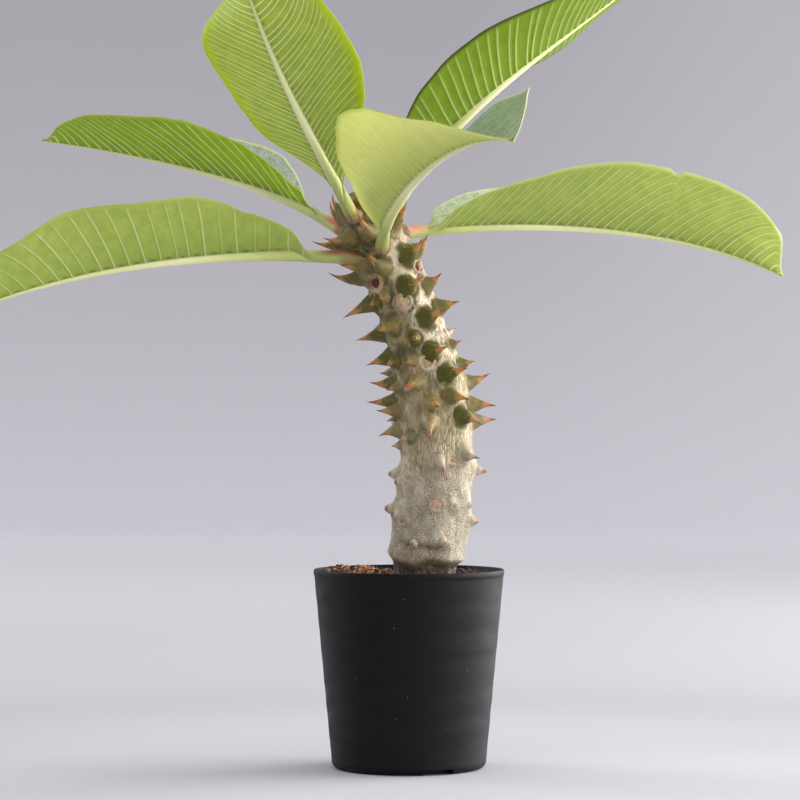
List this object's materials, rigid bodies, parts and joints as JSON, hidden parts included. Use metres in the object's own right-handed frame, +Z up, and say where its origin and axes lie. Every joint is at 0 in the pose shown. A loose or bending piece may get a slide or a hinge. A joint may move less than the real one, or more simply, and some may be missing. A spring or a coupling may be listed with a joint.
{
  "type": "potted pachypodium plant",
  "caption": "Young succulent with a thick spiny stem and a crown of long folded leaves, growing in soil in a small round nursery pot.",
  "frame": {"origin": "centre of the pot's flat underside, where it stands on a surface", "axes": "+Z up, -Y towards the viewer at the front, +X to the right of the front view"},
  "size_m": [0.3272, 0.2463, 0.3309],
  "materials": {
    "pot_plastic": "near-black moulded plastic with faint rings, soft sheen",
    "soil": "red-brown baked clay granules, matt",
    "bark": "silvery grey-green bark with a fine net, green spine feet and orange-brown spine ends",
    "leaf": "smooth bright green leaf with cream veins, paler below and grey-green above"
  },
  "bodies": {
    "root": {"pot": "pot_plastic", "soil": "soil", "stem": "bark", "leaf_left_low": "leaf", "leaf_left_high": "leaf", "leaf_top_left": "leaf", "leaf_front": "leaf", "leaf_top_right": "leaf", "leaf_right": "leaf"}
  },
  "joints": []
}
